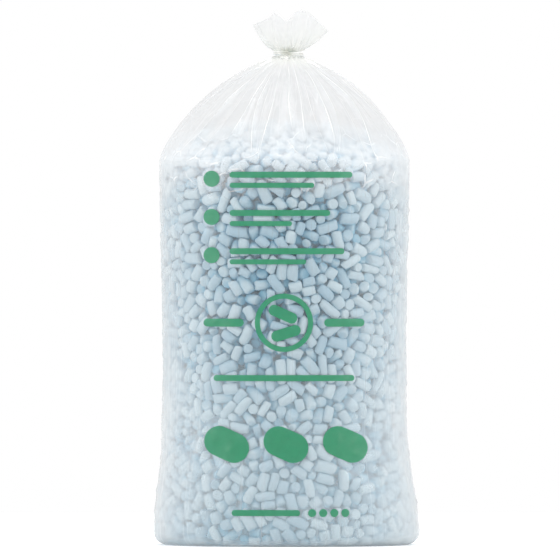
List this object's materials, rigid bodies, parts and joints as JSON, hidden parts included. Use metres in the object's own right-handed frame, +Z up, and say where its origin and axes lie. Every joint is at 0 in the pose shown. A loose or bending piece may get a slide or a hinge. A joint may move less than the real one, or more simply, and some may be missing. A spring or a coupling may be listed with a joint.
{
  "type": "packing peanut bag",
  "caption": "Clear film sack packed with pale blue starch packing chips, its mouth gathered, tied at the neck and ruffled above the tie.",
  "frame": {"origin": "middle of the sack's flat underside, below the centre of its box", "axes": "+Z up through the neck, the printed front faces -Y, +X to the right of the front"},
  "size_m": [0.7198, 0.66, 1.443],
  "materials": {
    "film": "thin clear film, printed in green on the front",
    "chips": "fine-celled starch foam, matt",
    "tie": "soft white cord"
  },
  "bodies": {
    "root": {"film_bag": "film", "chip_fill": "chips", "neck_tie": "tie", "chip_01": "chips", "chip_02": "chips", "chip_03": "chips", "chip_04": "chips", "chip_05": "chips", "chip_06": "chips", "chip_07": "chips", "chip_08": "chips", "chip_09": "chips", "chip_10": "chips", "chip_11": "chips", "chip_12": "chips", "chip_13": "chips", "chip_14": "chips", "chip_15": "chips", "chip_16": "chips", "chip_17": "chips", "chip_18": "chips", "chip_19": "chips", "chip_20": "chips", "chip_21": "chips", "chip_22": "chips", "chip_23": "chips", "chip_24": "chips", "chip_25": "chips", "chip_26": "chips", "chip_27": "chips", "chip_28": "chips", "chip_29": "chips", "chip_30": "chips", "chip_31": "chips", "chip_32": "chips", "chip_33": "chips", "chip_34": "chips"}
  },
  "joints": []
}
